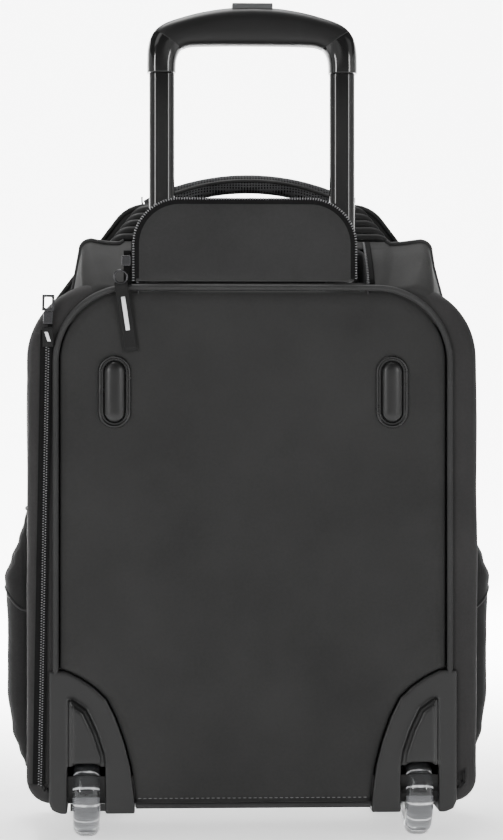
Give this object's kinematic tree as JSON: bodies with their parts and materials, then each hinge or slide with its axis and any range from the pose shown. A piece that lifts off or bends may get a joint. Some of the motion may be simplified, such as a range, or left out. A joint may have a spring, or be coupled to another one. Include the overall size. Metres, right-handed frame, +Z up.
{
  "type": "rolling laptop case",
  "caption": "Soft wheeled laptop case with telescopic handle, zipped handle cover, side-entry laptop flap, side pockets, carry handle and corner-mounted inline wheels.",
  "frame": {"origin": "middle of the footprint at floor level", "axes": "+X to the right seen from behind the case, +Y from the back panel to the front pocket, +Z up"},
  "size_m": [0.4084, 0.2368, 0.672],
  "materials": {
    "panel_fabric": "matte coated polyester, charcoal",
    "shell_fabric": "matte coated polyester",
    "cover_fabric": "matte coated polyester",
    "piping": "self-fabric piping",
    "ribs": "dark zip bands",
    "pocket_fabric": "stretch top polyester",
    "zip_tape": "black coil zip tape",
    "mesh_fabric": "air mesh",
    "webbing": "woven webbing",
    "divider_foam": "padded lining",
    "board_plastic": "stiff sheet",
    "moulded_plastic": "satin black moulding",
    "foot_rubber": "soft matte",
    "wheel_clear": "clear polyurethane",
    "hub_plastic": "pale grey moulding",
    "steel": "bright steel",
    "tube_black": "gloss black anodised",
    "tube_grey": "dark anodised",
    "grip_gloss": "gloss black",
    "grip_soft": "soft touch",
    "button_grey": "grey",
    "zip_metal": "black nickel"
  },
  "bodies": {
    "root": {"back_board": "board_plastic", "back_panel": "panel_fabric", "back_piping": "piping", "bumper_rings": "moulded_plastic", "bumper_pads": "foot_rubber", "base_tray": "moulded_plastic", "front_feet": "foot_rubber", "wheel_guard_left": "moulded_plastic", "wheel_guard_right": "moulded_plastic", "guard_screws": "steel", "axle_left": "steel", "axle_right": "steel", "outer_tubes": "tube_grey", "handle_foot": "moulded_plastic", "handle_bezel": "moulded_plastic", "rear_shell": "shell_fabric", "frame_hoop": "steel", "laptop_divider": "divider_foam", "cover_tape": "zip_tape", "side_zip_fixed": "zip_tape", "zip_ribs": "ribs", "main_shell": "panel_fabric", "side_pocket_left": "pocket_fabric", "side_pocket_right": "pocket_fabric", "carry_anchors": "webbing"},
    "wheel_left": {"tyre_left": "wheel_clear", "hub_left": "hub_plastic", "bearings_left": "steel"},
    "wheel_right": {"tyre_right": "wheel_clear", "hub_right": "hub_plastic", "bearings_right": "steel"},
    "handle_lower": {"middle_tubes": "tube_grey", "middle_collars": "moulded_plastic"},
    "handle_upper": {"inner_tubes": "tube_black", "inner_glides": "moulded_plastic", "grip_frame": "grip_gloss", "grip_cover": "grip_soft", "grip_screws": "steel", "button_spring": "steel"},
    "release_button": {"release_button": "button_grey", "lock_rods": "steel"},
    "lock_pin_left": {"lock_pin_left": "steel"},
    "lock_pin_right": {"lock_pin_right": "steel"},
    "carry_handle": {"carry_handle": "mesh_fabric"},
    "cover_flap": {"cover_flap": "cover_fabric", "cover_flap_zip": "zip_tape"},
    "cover_slider": {"cover_slider": "zip_metal"},
    "cover_pull": {"cover_ring": "steel", "cover_strap": "webbing"},
    "side_flap": {"side_flap": "shell_fabric", "side_flap_zip": "zip_tape"},
    "side_slider": {"side_slider": "zip_metal", "side_puller": "steel"},
    "side_pull": {"side_strap": "webbing"},
    "main_lid": {"main_lid": "panel_fabric", "front_pocket": "shell_fabric"},
    "main_slider": {"main_slider": "zip_metal"},
    "main_pull": {"main_pull": "webbing"},
    "pocket_slider": {"pocket_slider": "zip_metal"},
    "pocket_pull": {"pocket_pull": "webbing"}
  },
  "joints": [
    {"name": "wheel_left_spin", "type": "hinge", "parent": "root", "child": "wheel_left", "pos_m": [-0.1336, -0.0864, 0.032], "axis": [1, 0, 0], "continuous": true},
    {"name": "wheel_right_spin", "type": "hinge", "parent": "root", "child": "wheel_right", "pos_m": [0.1336, -0.0864, 0.032], "axis": [1, 0, 0], "continuous": true},
    {"name": "handle_lower_slide", "type": "slide", "parent": "root", "child": "handle_lower", "axis": [0, 0, 1], "range_m": [0, 0.2]},
    {"name": "handle_upper_slide", "type": "slide", "parent": "handle_lower", "child": "handle_upper", "axis": [0, 0, 1], "range_m": [-0.165, 0.18]},
    {"name": "release_button_press", "type": "slide", "parent": "handle_upper", "child": "release_button", "axis": [0, 0, -1], "range_m": [0, 0.004], "stiffness_N_per_m": 800, "springref_m": -0.003, "deforming": ["button_spring"]},
    {"name": "lock_pin_left_slide", "type": "slide", "parent": "handle_upper", "child": "lock_pin_left", "axis": [1, 0, 0], "range_m": [0, 0.0025]},
    {"name": "lock_pin_right_slide", "type": "slide", "parent": "handle_upper", "child": "lock_pin_right", "axis": [-1, 0, 0], "range_m": [0, 0.0025]},
    {"name": "carry_handle_lean", "type": "hinge", "parent": "root", "child": "carry_handle", "pos_m": [0, -0.0104, 0.5185], "axis": [1, 0, 0], "range_deg": [-30, 30]},
    {"name": "cover_flap_fold", "type": "hinge", "parent": "root", "child": "cover_flap", "pos_m": [0, -0.1136, 0.4465], "axis": [1, 0, 0], "range_deg": [0, 150]},
    {"name": "cover_slider_run", "type": "slide", "parent": "root", "child": "cover_slider", "axis": [0, 0, 1], "range_m": [0, 0.012]},
    {"name": "cover_pull_swing", "type": "hinge", "parent": "cover_slider", "child": "cover_pull", "pos_m": [-0.1061, -0.1142, 0.4556], "axis": [-1, 0, 0], "range_deg": [0, 110]},
    {"name": "side_flap_open", "type": "hinge", "parent": "root", "child": "side_flap", "pos_m": [-0.181, -0.0379, 0.226], "axis": [0, 0, -1], "range_deg": [0, 85]},
    {"name": "side_slider_run", "type": "slide", "parent": "root", "child": "side_slider", "axis": [0.0175, 0, 0.9998], "range_m": [-0.362, 0]},
    {"name": "side_pull_swing", "type": "hinge", "parent": "side_slider", "child": "side_pull", "pos_m": [-0.16413, -0.1125, 0.4096], "axis": [-0.9998, 0, 0.0175], "range_deg": [0, 110]},
    {"name": "main_lid_open", "type": "hinge", "parent": "root", "child": "main_lid", "pos_m": [0, 0.0612, 0.09], "axis": [-1, 0, 0], "range_deg": [0, 80]},
    {"name": "main_slider_run", "type": "slide", "parent": "root", "child": "main_slider", "axis": [0, 0, 1], "range_m": [-0.19, 0.085]},
    {"name": "main_pull_swing", "type": "hinge", "parent": "main_slider", "child": "main_pull", "pos_m": [0.18595, 0.0546, 0.305], "axis": [0, -1, 0], "range_deg": [0, 110]},
    {"name": "pocket_slider_run", "type": "slide", "parent": "main_lid", "child": "pocket_slider", "axis": [1, 0, 0], "range_m": [-0.1, 0.1]},
    {"name": "pocket_pull_swing", "type": "hinge", "parent": "pocket_slider", "child": "pocket_pull", "pos_m": [0, 0.11765, 0.36], "axis": [1, 0, 0], "range_deg": [0, 110]}
  ],
  "couplings": [
    {"joint": "lock_pin_left_slide", "follows": "release_button_press", "ratio": 0.625},
    {"joint": "lock_pin_right_slide", "follows": "release_button_press", "ratio": 0.625}
  ]
}
